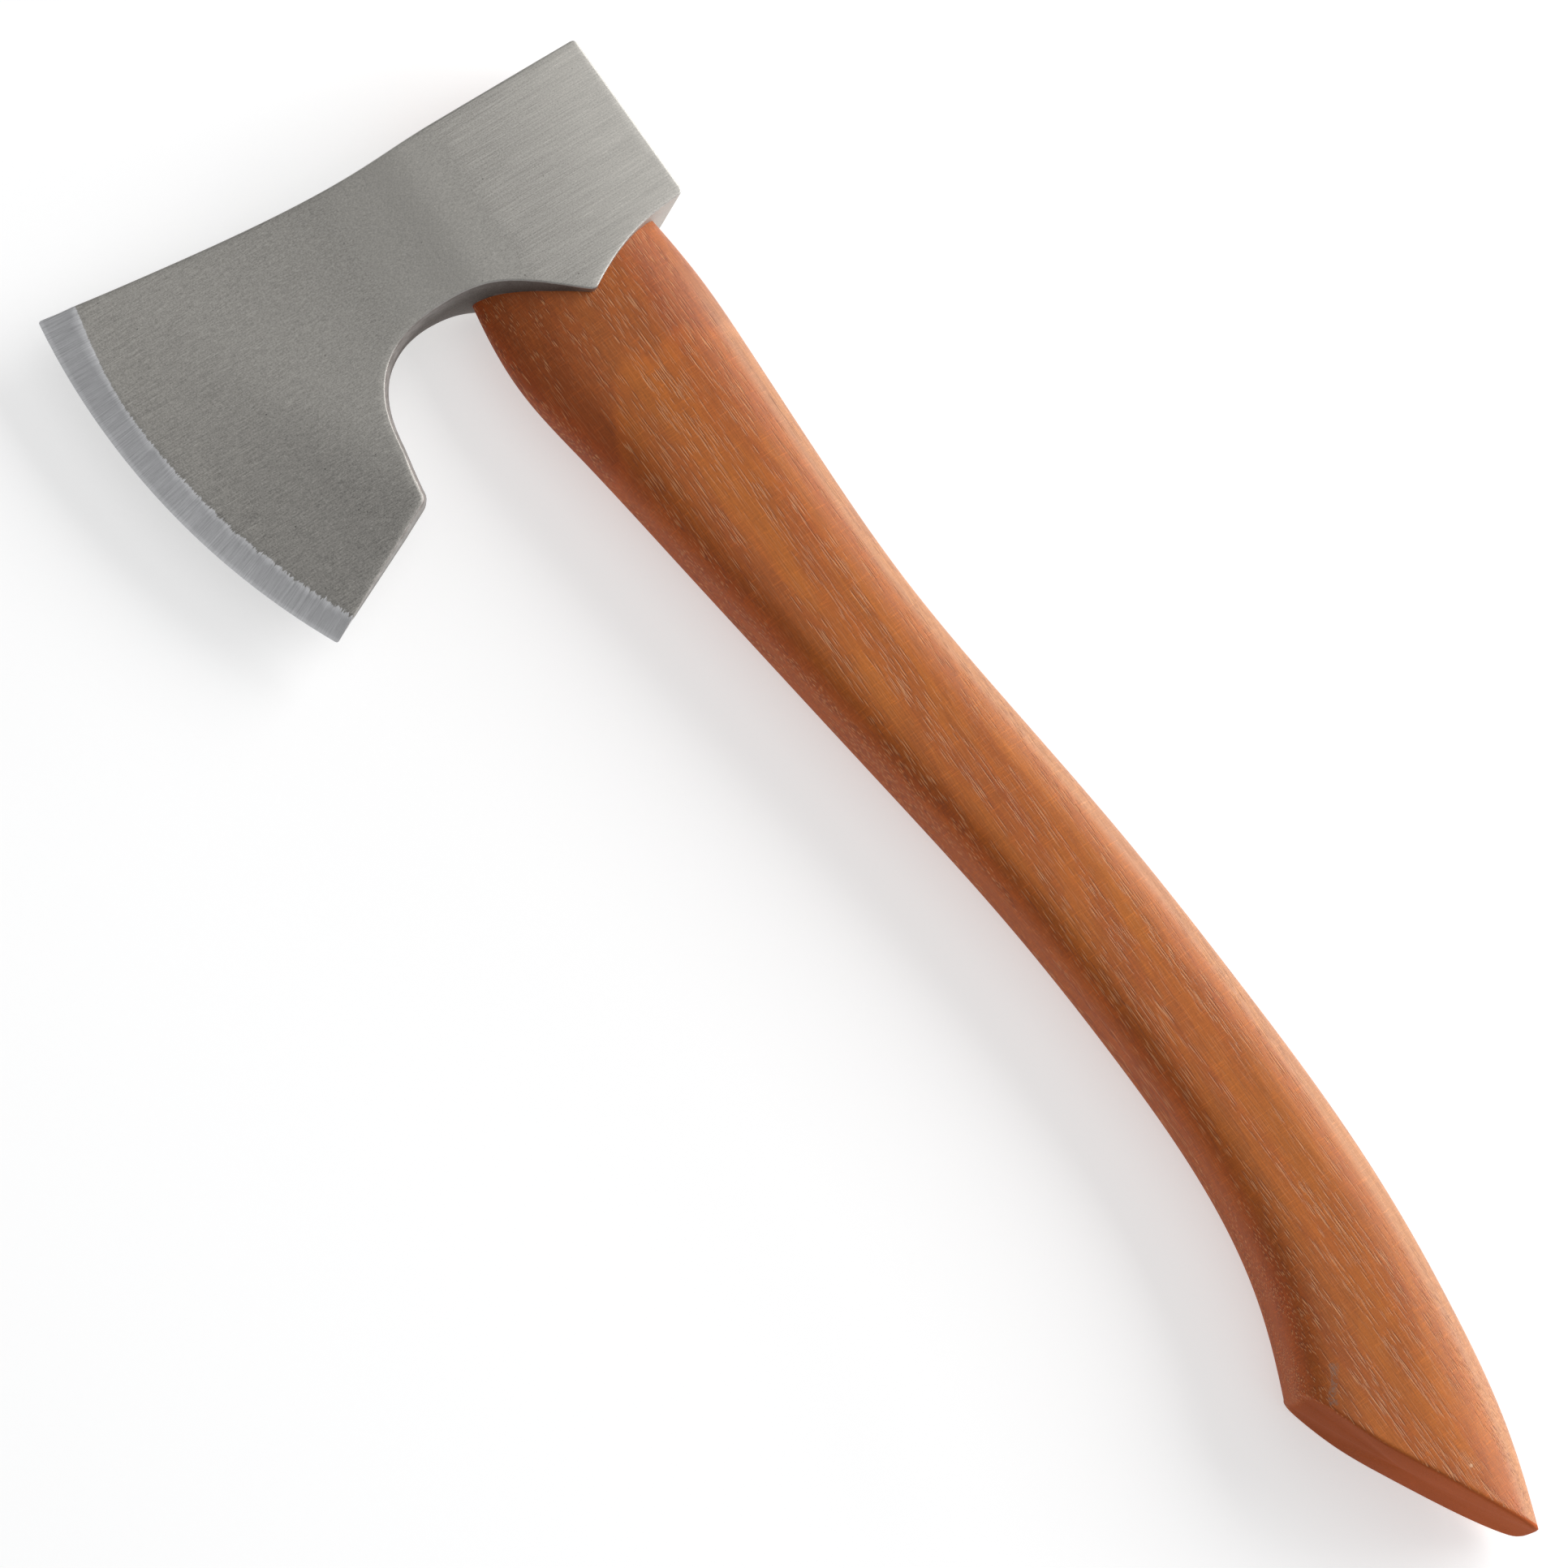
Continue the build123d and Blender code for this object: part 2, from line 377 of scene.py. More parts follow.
def head_solid():
    """The forged head without its eye: two cheeks, eased edges and the walls between them."""
    loop = head_outline(OUTLINE_STEP)
    normal = inward(loop)
    ease = edge_ease(loop)
    n = len(loop)
    inner = loop + normal * ease[:, None]
    rim_height = half_thickness(*inner.T)
    # rings from the middle of the wall up over the eased edge, on the upper side
    rings = []
    wall = rim_height - ease
    bulge = wall_bulge(loop)
    for share in (0.0, 0.3, 0.55, 0.75, 0.9):
        rings.append((loop - normal * (bulge * (1 - share**2))[:, None], wall * share))
    for turn in np.radians([0, 22, 45, 68]):
        shift = ease * (1 - math.cos(turn))
        rings.append((loop + normal * shift[:, None], wall + ease * math.sin(turn)))
    rings.append((inner, rim_height))
    vertices = []
    faces = []
    for plan, height in rings:
        vertices.extend((x, y, MID + z) for (x, y), z in zip(plan, height))
    for level in range(len(rings) - 1):
        for i in range(n):
            j = (i + 1) % n
            a = level * n
            b = a + n
            faces.append((a + i, a + j, b + j, b + i))
    # the cheek itself
    line = bevel_line(inner, BEVEL_LINE_STEP)
    field = cheek_points(inner, CHEEK_STEP)
    flat = np.concatenate([inner, line, field])
    constraints = [(i, (i + 1) % n) for i in range(n)]
    constraints += [(n + i, n + i + 1) for i in range(len(line) - 1)]
    out = geometry.delaunay_2d_cdt([Vector(p) for p in flat], constraints, [], 1, 1e-6)
    plan = np.array([tuple(v) for v in out[0]])
    height = half_thickness(*plan.T)
    rim = (len(rings) - 1) * n
    index = []
    for k, source in enumerate(out[3]):
        if source and source[0] < n:
            index.append(rim + source[0])
        else:
            index.append(len(vertices))
            vertices.append((plan[k][0], plan[k][1], MID + height[k]))
    for tri in out[2]:
        a, b, c = (plan[t] for t in tri)
        turn = (b[0] - a[0]) * (c[1] - a[1]) - (b[1] - a[1]) * (c[0] - a[0])
        tri = tri if turn > 0 else tri[::-1]
        faces.append([index[t] for t in tri])
    # the lower side is the upper one turned over, sharing the ring round the middle
    total = len(vertices)
    under = [i if i < n else total + i - n for i in range(total)]
    vertices += [(x, y, 2 * MID - z) for x, y, z in vertices[n:]]
    faces += [[under[i] for i in f][::-1] for f in faces]
    return link_mesh("axe_head_forged", vertices, faces)


def superellipse(turn, squareness):
    """A sine or cosine bent so that the section it draws gets squarer: 2 is an ellipse."""
    return np.sign(turn) * np.abs(turn) ** (2 / squareness)


def eye_plug(name, grow, low_x, high_x, flare):
    """A closed plug with the eye's shape, grown all round. flare lists (x, growth) near its top."""
    stations = [(low_x, grow), *flare, (high_x, flare[-1][1])]
    steps = 96
    turn = 2 * math.pi * np.arange(steps) / steps
    vertices = []
    for x, extra in stations:
        share = (x - EYE_BOTTOM_X) / (TENON_TOP_X - EYE_BOTTOM_X)
        back = EYE_BACK - EYE_FLARE * share - extra
        front = EYE_FRONT + EYE_FLARE * share + extra
        half = EYE_HALF + EYE_FLARE * share + extra
        y = (back + front) / 2 + (front - back) / 2 * np.cos(turn)
        z = half * np.sin(turn) * (1 - EYE_SKEW * np.cos(turn))
        vertices.extend((x, a, MID + b) for a, b in zip(y, z))
    faces = []
    for level in range(len(stations) - 1):
        for i in range(steps):
            j = (i + 1) % steps
            a = level * steps
            b = a + steps
            faces.append((a + i, a + j, b + j, b + i))
    faces.append(range(steps - 1, -1, -1))
    faces.append(range((len(stations) - 1) * steps, len(stations) * steps))
    return link_mesh(name, vertices, faces)


def carve(piece, cutter):
    """Cuts one closed mesh out of another for good, and drops the cutter."""
    cut = piece.modifiers.new("carve", "BOOLEAN")
    cut.operation = "DIFFERENCE"
    cut.solver = "EXACT"
    cut.object = cutter
    result = bpy.data.meshes.new_from_object(piece.evaluated_get(bpy.context.evaluated_depsgraph_get()))
    piece.modifiers.clear()
    old = piece.data
    piece.data = result
    bpy.data.meshes.remove(old)
    bpy.data.objects.remove(cutter)


def make_head():
    """The head with its eye cut through and the eye's top rim eased."""
    head = head_solid()
    rim = [(TOP_X - 0.7, EYE_CLEARANCE), (TOP_X + 0.1, EYE_RIM)]
    carve(head, eye_plug("eye_cutter", EYE_CLEARANCE, EYE_BOTTOM_X - 10, TOP_X + 5, rim))
    smooth(head, 28)
    return head


# ---- the handle ----


def handle_sizes(x):
    """Back, belly, half thickness, the two squarenesses and the skew of the handle at x."""
    table = np.array(HANDLE)[::-1]
    values = cubic(table[:, 0], table[:, 1:], np.ravel(x)).T
    return values.reshape(-1, *np.shape(x))


def handle_point(x, c, s):
    """Points of the handle's surface at x, for the cosine and sine of the angle round it."""
    back, belly, half, square_belly, square_back, skew = handle_sizes(x)
    square = np.where(c > 0, square_belly, square_back)
    y = (back + belly) / 2 + (belly - back) / 2 * superellipse(c, square)
    z = half * superellipse(s, square) * (1 - skew * c)
    return y, z


def handle_rings(steps):
    """Rings of points from the tenon's end to the slanting butt, which turn to meet the cut."""
    turn = 2 * math.pi * (np.arange(steps) + 0.5) / steps
    cut = curve_through(BUTT_CUT, 0.5, BUTT_CUT_START, BUTT_CUT_END)
    cut_x, cut_y = cut.T[:, ::-1]
    centre_y = (BUTT_CUT[0][1] + BUTT_CUT[-1][1]) / 2
    end_x = np.interp(centre_y, cut_y, cut_x)
    close_rings = np.linspace(TENON_TOP_X, -60, 90)
    places = np.concatenate([close_rings, np.linspace(-61, end_x, 260)])[:, None]
    share = np.clip((BUTT_TURN_START - places) / (BUTT_TURN_START - end_x), 0, 1)
    share = share * share * (3 - 2 * share)
    x = np.repeat(places, steps, axis=1)
    c = np.broadcast_to(np.cos(turn), x.shape)
    s = np.broadcast_to(np.sin(turn), x.shape)
    # x follows the cut at the height that the section has at x, so the two are settled together
    for _ in range(40):
        y = handle_point(x, c, s)[0]
        x = 0.5 * x + 0.5 * (places + share * (np.interp(y, cut_y, cut_x) - end_x))
    y, z = handle_point(x, c, s)
    rings = list(np.stack([x, y, MID + z], axis=2))
    # the butt's face: a small rounding, then a slight dome closed at its middle
    last = rings[-1]
    middle = last.mean(axis=0)
    (belly_x, belly_y), (back_x, back_y) = BUTT_CUT[0], BUTT_CUT[-1]
    out = np.array([back_y - belly_y, belly_x - back_x, 0.0])
    out /= np.linalg.norm(out)
    reach = np.linalg.norm(last - middle, axis=1)[:, None]
    for inset, rise in BUTT_ROUNDING:
        rings.append(last + (middle - last) / reach * inset + out * rise)
    outer = rings[-1]
    down = np.array([-out[1], out[0], 0.0])
    half_cut = abs((outer - middle) @ down).max()
    half_thick = abs(outer[:, 2] - MID).max()
    for share in np.linspace(0.96, 0.04, 16):
        flat = (outer - middle) * share
        swell = (1 - (flat @ down / half_cut) ** 2) * (1 - (flat[:, 2] / half_thick) ** 2)
        rings.append(middle + flat + BUTT_DOME * swell[:, None] * out)
    peak = middle + BUTT_DOME * out
    return rings, peak


def make_handle():
    """The handle as one closed skin over its rings, with its tenon split for the wedges."""
    steps = HANDLE_STEPS
    rings, peak = handle_rings(steps)
    vertices = [tuple(v) for ring in rings for v in ring]
    faces = []
    neighbours = [(i, (i + 1) % steps) for i in range(steps)]
    for level in range(len(rings) - 1):
        a = level * steps
        b = a + steps
        faces += [(a + i, b + i, b + j, a + j) for i, j in neighbours]
    tip = len(vertices)
    vertices.append(tuple(peak))
    base = (len(rings) - 1) * steps
    faces += [(base + i, tip, base + j) for i, j in neighbours]
    # the tenon's end, slightly rounded over
    first = rings[0]
    core = first.mean(axis=0)
    base = 0
    for share, rise in TENON_END:
        ring = core + (first - core) * share
        start = len(vertices)
        vertices += [(x + rise, y, z) for x, y, z in ring]
        faces += [(base + i, base + j, start + j, start + i) for i, j in neighbours]
        base = start
    tip = len(vertices)
    vertices.append((core[0] + TENON_END[-1][1], core[1], core[2]))
    faces += [(base + i, base + j, tip) for i, j in neighbours]
    handle = link_mesh("handle_shaped", vertices, faces)
    for node in ("wooden_wedge", "steel_wedge"):
        cutter = bpy.data.objects.new("cutter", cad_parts[node].data.copy())
        bpy.context.scene.collection.objects.link(cutter)
        carve(handle, cutter)
    smooth(handle, 40)
    return handle


# ---- materials ----

# the Mix node's sockets: the share, then both inputs and the output, for numbers and for colours
MIX_SHARE = 0
MIX_NUMBERS = (2, 3, 0)
MIX_COLOURS = (6, 7, 2)


def rgba(colour):
    """Adds the alpha to a plain colour. A socket stays as it is."""
    return (*colour, 1.0) if isinstance(colour, tuple) else colour


class Finish:
    """Builds one material's node tree, a node at a time. Its coordinates are the frame's, in mm."""

    def __init__(self, name):
        self.material = bpy.data.materials.new(name)
        self.material.use_nodes = True
        self.tree = self.material.node_tree
        self.shader = self.tree.nodes["Principled BSDF"]
        place = self.node("TexCoord", {}, "Object")
        self.place = self.stretch(place, (1 / MM, 1 / MM, 1 / MM))
        self.x, self.y, self.z = self.split(self.place)

    def node(self, kind, inputs, output=0, **settings):
        """A new node with its inputs joined up. Returns one of its outputs."""
        made = self.tree.nodes.new("ShaderNode" + kind)
        for key, value in settings.items():
            setattr(made, key, value)
        for socket, value in inputs.items():
            self.join(value, made.inputs[socket])
        return made.outputs[output]

    def join(self, value, socket):
        """Links a node's output to a socket, or sets the socket to a plain value."""
        if isinstance(value, bpy.types.NodeSocket):
            self.tree.links.new(value, socket)
        else:
            socket.default_value = value

    def stretch(self, vector, factors, shift=(0, 0, 0)):
        """A vector times factors, plus a shift."""
        return self.node("VectorMath", {0: vector, 1: factors, 2: shift}, operation="MULTIPLY_ADD")

    def math(self, operation, a, b=0.0, c=0.0):
        """One Math node."""
        return self.node("Math", {0: a, 1: b, 2: c}, operation=operation)

    def vector(self, x, y, z):
        """Three numbers as a vector."""
        return self.node("CombineXYZ", {0: x, 1: y, 2: z})

    def split(self, vector):
        """A vector's three numbers."""
        return [self.node("SeparateXYZ", {0: vector}, axis) for axis in "XYZ"]

    def noise(self, size, shift=(0, 0, 0), detail=2.0, rough=0.5, vector=None):
        """Soft noise from 0 to 1 whose blobs have a size in mm along each axis."""
        place = self.stretch(vector or self.place, tuple(1 / s for s in size), shift)
        inputs = {"Vector": place, "Scale": 1.0, "Detail": detail, "Roughness": rough}
        return self.node("TexNoise", inputs)

    def cells(self, size, shift=(0, 0, 0), vector=None):
        """Distance from scattered points, whose spacing is a size in mm along each axis."""
        place = self.stretch(vector or self.place, tuple(1 / s for s in size), shift)
        return self.node("TexVoronoi", {"Vector": place, "Scale": 1.0}, "Distance")

    def ease(self, value, start, end, low=0.0, high=1.0):
        """Smooth step from low to high as the value goes from start to end, up or down."""
        if start > end:
            start, end, low, high = end, start, high, low
        inputs = {"Value": value, "From Min": start, "From Max": end, "To Min": low, "To Max": high}
        return self.node("MapRange", inputs, interpolation_type="SMOOTHSTEP")

    def total(self, *parts, plus=0.0):
        """The sum of (weight, value) pairs, and a constant."""
        result = plus
        for weight, value in parts:
            result = self.math("MULTIPLY_ADD", value, weight, result)
        return result

    def product(self, first, *others):
        """The numbers multiplied together."""
        for other in others:
            first = self.math("MULTIPLY", first, other)
        return first

    def reach(self, a, b):
        """Length of a line that runs a one way and b across."""
        return self.math("SQRT", self.total((1.0, self.product(a, a)), (1.0, self.product(b, b))))

    def blend(self, share, a, b):
        """One number turning into another as the share goes from 0 to 1."""
        first, second, result = MIX_NUMBERS
        inputs = {MIX_SHARE: share, first: a, second: b}
        return self.node("Mix", inputs, result, data_type="FLOAT")

    def mix(self, share, a, b):
        """One colour turning into another as the share goes from 0 to 1."""
        first, second, result = MIX_COLOURS
        inputs = {MIX_SHARE: share, first: rgba(a), second: rgba(b)}
        return self.node("Mix", inputs, result, data_type="RGBA", blend_type="MIX")

    def shade(self, colour, factor):
        """A colour times a number."""
        first, second, result = MIX_COLOURS
        grey = self.vector(factor, factor, factor)
        inputs = {MIX_SHARE: 1.0, first: rgba(colour), second: grey}
        return self.node("Mix", inputs, result, data_type="RGBA", blend_type="MULTIPLY")

    def bump(self, height, strength, distance):
        """Bump from a height between 0 and 1, which stands for a distance in mm."""
        normal = self.node("Bump", {"Strength": strength, "Distance": distance * MM, "Height": height})
        self.join(normal, self.shader.inputs["Normal"])

    def finish(self, colour, roughness, **constants):
        """Joins colour and roughness to the shader, sets its constants and returns the material."""
        self.join(colour, self.shader.inputs["Base Color"])
        self.join(roughness, self.shader.inputs["Roughness"])
        for name, value in constants.items():
            self.shader.inputs[name.replace("_", " ")].default_value = value
        return self.material


STEEL_BLASTED = (0.36, 0.347, 0.322)
STEEL_GROUND = (0.58, 0.58, 0.59)
# the next colour is painted shade on the notch's wall
NOTCH_PAINTED_SHADE = (0.20, 0.185, 0.17)
STEEL_WORN = (0.66, 0.65, 0.63)


def bevel_grain(f):
    """Share of the ground bevel, its fine cross grain, and the distance from the edge's centre."""
    across = f.math("SUBTRACT", f.x, EDGE_CENTRE[0])
    along = f.math("SUBTRACT", f.y, EDGE_CENTRE[1])
    radius = f.reach(across, along)
    turn = f.product(f.math("ARCTAN2", along, across), EDGE_RADIUS)
    polar = f.vector(turn, radius, f.z)
    # the grinding ends in a jagged line, more so towards the heel, and reaches further in at the toe
    jagged = f.noise((0.35, 3.0, 4.0), detail=3.0, rough=0.7, vector=polar)
    ragged = f.product(f.math("SUBTRACT", 0.5, jagged), f.ease(f.x, 26.0, -48.0, 0.7, 3.4))
    toe_side = f.ease(f.x, 0.0, 34.0, 0.0, 2.1)
    inner = f.total((1.0, ragged), (-1.0, toe_side), plus=EDGE_RADIUS - BEVEL_WIDTH - 0.15)
    bevel = f.ease(f.math("SUBTRACT", radius, inner), -0.12, 0.18)
    ground = f.noise((0.15, 7.0, 9.0), detail=3.0, rough=0.7, vector=polar)
    return bevel, ground, radius


def steel_finish():
    """Blasted and brushed forging, with a cross-ground bevel, pits and edges worn bright."""
    f = Finish("head_steel_blasted")
    brushed = f.noise((0.13, 11.0, 0.13), detail=4.0, rough=0.75)
    scratch = f.noise((0.16, 7.0, 0.16), (3.1, 5.7, 1.3), detail=2.0, rough=0.6)
    thin_scratch = f.ease(scratch, 0.66, 0.74)
    grit = f.noise((0.30, 0.34, 0.30), detail=3.0, rough=0.75)
    cloud = f.noise((26.0, 20.0, 26.0), (0.4, 0.2, 0.9), detail=3.0)
    pits = f.ease(f.cells((1.9, 1.9, 1.9), (0.3, 0.7, 0.1)), 0.11, 0.05)
    pits = f.product(pits, f.ease(f.noise((5.0, 5.0, 5.0)), 0.5, 0.62))
    bevel, ground, radius = bevel_grain(f)
    keen = f.ease(radius, EDGE_RADIUS - 1.1, EDGE_RADIUS - 0.5)
    # painted light and shade: the forging is painted lighter towards the poll and in the hollow, and
    # darker towards the heel, for how the key light falls across the head; the cloud adds random tone
    poll_side = f.ease(f.y, 10.0, -30.0)
    heel_side = f.ease(f.total((1.0, f.y), (-0.5, f.x)), 58.0, 78.0)
    heel_side = f.product(heel_side, f.ease(f.x, 26.0, -46.0, 0.3, 1.6))
    hollow = f.product(f.ease(f.y, 8.0, 19.0), f.ease(f.y, 40.0, 22.0))
    painted_light_and_cloud = f.total((0.38, poll_side), (-0.19, heel_side), (0.42, hollow), (0.12, cloud))
    brush_tone = f.total((1.3, brushed), (1.3, grit), (0.36, thin_scratch), (-0.40, pits), plus=-0.33)
    body = f.shade(STEEL_BLASTED, f.math("ADD", painted_light_and_cloud, brush_tone))
    ground_tone = f.total((1.1, ground), (0.3, grit), (0.3, cloud), (0.16, keen), plus=0.22)
    colour = f.mix(bevel, body, f.shade(STEEL_GROUND, ground_tone))
    # painted shade: the notch's upright wall is painted dark, for the shade that falls in the notch
    tilt = f.split(f.node("NewGeometry", {}, "Normal"))[2]
    upright = f.ease(f.math("ABSOLUTE", tilt), 0.75, 0.35)
    in_notch = f.product(f.ease(f.y, 1.0, 5.0), f.ease(f.y, 50.0, 47.0), f.ease(f.x, -6.0, -9.0))
    scale = f.product(upright, in_notch)
    colour = f.mix(scale, colour, f.shade(NOTCH_PAINTED_SHADE, brush_tone))
    # the eased edges are rubbed bright in places
    wear = f.node("Attribute", {}, "Fac", attribute_name=RIM_ATTRIBUTE)
    wear_and_painted_highlight = f.product(wear, f.noise((1.2, 2.4, 1.2), detail=3.0), 0.9)
    colour = f.mix(wear_and_painted_highlight, colour, STEEL_WORN)
    rough = f.total(
        (0.10, brushed),
        (0.10, grit),
        (0.05, cloud),
        (0.12, pits),
        (0.20, scale),
        (-0.07, wear),
        (-0.05, bevel),
        plus=0.42,
    )
    cheek_height = f.total((0.45, brushed), (0.45, grit), (-0.5, pits), (-0.25, thin_scratch))
    f.bump(f.blend(bevel, cheek_height, ground), 0.55, 0.03)
    return f.finish(colour, rough, Metallic=1.0)


STAIN_GOLD = (0.50, 0.140, 0.015)
STAIN_RED = (0.42, 0.096, 0.018)
STAIN_COLLAR = (0.275, 0.060, 0.022)
# the arris and belly colours are real stain with painted shade
ARRIS_STAIN_AND_SHADE = (0.35, 0.066, 0.004)
BELLY_STAIN_AND_SHADE = (0.46, 0.070, 0.004)
STAIN_END_GRAIN = (0.38, 0.078, 0.016)
# the next colour is a painted highlight along the handle's back
BACK_PAINTED_HIGHLIGHT = (0.56, 0.36, 0.22)
WOOD_DENTED = (0.80, 0.50, 0.30)
VESSEL_DUST = (0.82, 0.40, 0.18)
VESSEL_SHADOW = (0.15, 0.036, 0.013)
FILLER_GREY = (0.25, 0.17, 0.13)

GRAIN_TURN = math.radians(-2.0)
RING_SPACING = 4.2
RING_CENTRE = (-66.0, -58.0)  # Y and Z of the tree's heart, outside the handle
RING_LEAN = 0.030  # how fast the rings drift across the handle along X
RING_WARP = 22.0

# spacing in mm along the grain and across it, and where each layer of vessels starts
VESSELS = [
    ((12.0, 0.31, 0.6), (0.0, 0.0, 0.0)),
    ((8.0, 0.28, 0.55), (4.4, 0.3, 0.8)),
    ((6.0, 0.33, 0.5), (1.9, 5.3, 3.8)),
    ((15.0, 0.30, 0.6), (7.3, 2.1, 6.6)),
]
VESSEL_SIDE = 0.15  # how far to one side of a vessel its shadow lies
MEND_START = (-276.2, -3.4)
MEND_END = (-282.6, 1.1)
DENT = (-306.2, -15.3)


def wood_rings(f):
    """Phase of the growth rings, from 0 to 1 across each ring, about a far axis near the grain."""
    bend = f.noise((70.0, 26.0, 26.0), (0.7, 0.1, 0.5), detail=2.0)
    ripple = f.noise((16.0, 5.0, 5.0), detail=2.0)
    centre_y, centre_z = RING_CENTRE
    away = f.reach(f.math("SUBTRACT", f.y, centre_y), f.math("SUBTRACT", f.z, centre_z))
    away = f.total((1.0, away), (RING_LEAN, f.x), (RING_WARP, bend), (1.2, ripple))
    return f.math("FRACT", f.math("DIVIDE", away, RING_SPACING))


def wood_vessels(f, grain, early, groups):
    """Long thin pits, mostly in the early wood, pale with dust and dark along one side."""
    pale = 0.0
    dark = 0.0
    for size, shift in VESSELS:
        beside = (shift[0], shift[1] + VESSEL_SIDE / size[1], shift[2])
        pale = f.math("MAXIMUM", pale, f.ease(f.cells(size, shift, vector=grain), 0.25, 0.10))
        dark = f.math("MAXIMUM", dark, f.ease(f.cells(size, beside, vector=grain), 0.26, 0.12))
    dense = f.total((0.4, f.product(early, groups)), (0.6, groups), plus=0.2)
    dense = f.math("MINIMUM", dense, 1.0)
    return f.product(pale, dense), f.product(dark, dense)


def mended_nick(f):
    """Where grey filler closes a nick by the butt's corner."""
    run = math.dist(MEND_START, MEND_END)
    u, v = ((b - a) / run for a, b in zip(MEND_START, MEND_END))
    off_x = f.math("SUBTRACT", f.x, MEND_START[0])
    off_y = f.math("SUBTRACT", f.y, MEND_START[1])
    down = f.total((u, off_x), (v, off_y), (1.5, f.noise((1.0, 1.0, 1.0))))
    aside = f.total((-v, off_x), (u, off_y), (1.2, f.noise((2.0, 2.0, 2.0))), plus=-0.6)
    width = f.ease(f.math("ABSOLUTE", aside), 0.9, 0.45)
    length = f.product(f.ease(down, -0.3, 0.5), f.ease(down, 8.4, 7.4))
    patchy = f.ease(f.noise((0.7, 0.5, 0.5), detail=4.0, rough=0.7), 0.38, 0.58)
    upper_side = f.ease(f.z, MID + 8, MID + 9)
    return f.product(width, length, patchy, upper_side)


def small_dent(f):
    """One pale dent on the upper flat, near the butt's tip."""
    away = f.reach(f.math("SUBTRACT", f.x, DENT[0]), f.math("SUBTRACT", f.y, DENT[1]))
    return f.product(f.ease(away, 0.5, 0.2), f.ease(f.z, MID, MID + 2))


